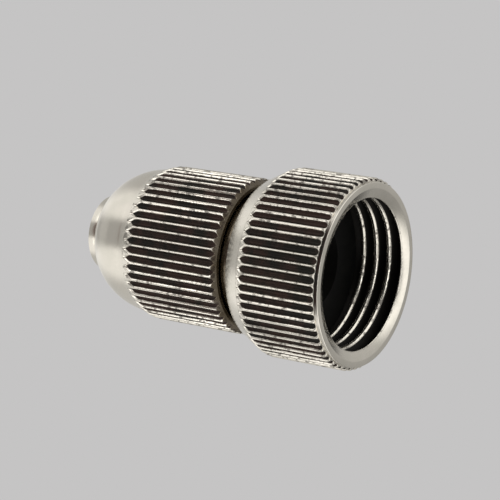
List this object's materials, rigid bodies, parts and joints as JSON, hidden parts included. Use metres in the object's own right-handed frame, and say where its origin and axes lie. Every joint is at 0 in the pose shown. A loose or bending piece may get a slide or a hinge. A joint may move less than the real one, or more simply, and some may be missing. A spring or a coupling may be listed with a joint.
{
  "type": "hose connector",
  "caption": "Knurled metal hose connector: threaded coupling with a rubber washer, and a twist barrel that travels on its neck and opens the nozzle round a central stem.",
  "frame": {"origin": "centre of the coupling's open face, which the connector stands on", "axes": "+Z along the axis, from the coupling's open face to the barrel's nose; the piece is round, so X and Y are any two directions across it"},
  "size_m": [0.0234, 0.0234, 0.0383],
  "materials": {
    "coupling_plate": "polished nickel plate on turned brass",
    "barrel_plate": "polished nickel plate on turned brass",
    "stem_plate": "bright nickel plate on turned brass",
    "washer_rubber": "black moulded rubber",
    "ring_rubber": "black moulded rubber"
  },
  "bodies": {
    "coupling": {"coupling_body": "coupling_plate", "hose_washer": "washer_rubber", "stem": "stem_plate", "seat_ring": "ring_rubber"},
    "travel_ring": {"spigot_ring": "ring_rubber"},
    "barrel": {"barrel": "barrel_plate"}
  },
  "joints": [
    {"name": "barrel_travel", "type": "slide", "parent": "coupling", "child": "travel_ring", "axis": [0, 0, 1], "range_m": [0, 0.003]},
    {"name": "barrel_twist", "type": "hinge", "parent": "travel_ring", "child": "barrel", "pos_m": [0, 0, 0.0155], "axis": [0, 0, 1], "range_deg": [0, 720]}
  ],
  "couplings": [
    {"joint": "barrel_travel", "follows": "barrel_twist", "m_per_rad": 0.0002387}
  ]
}
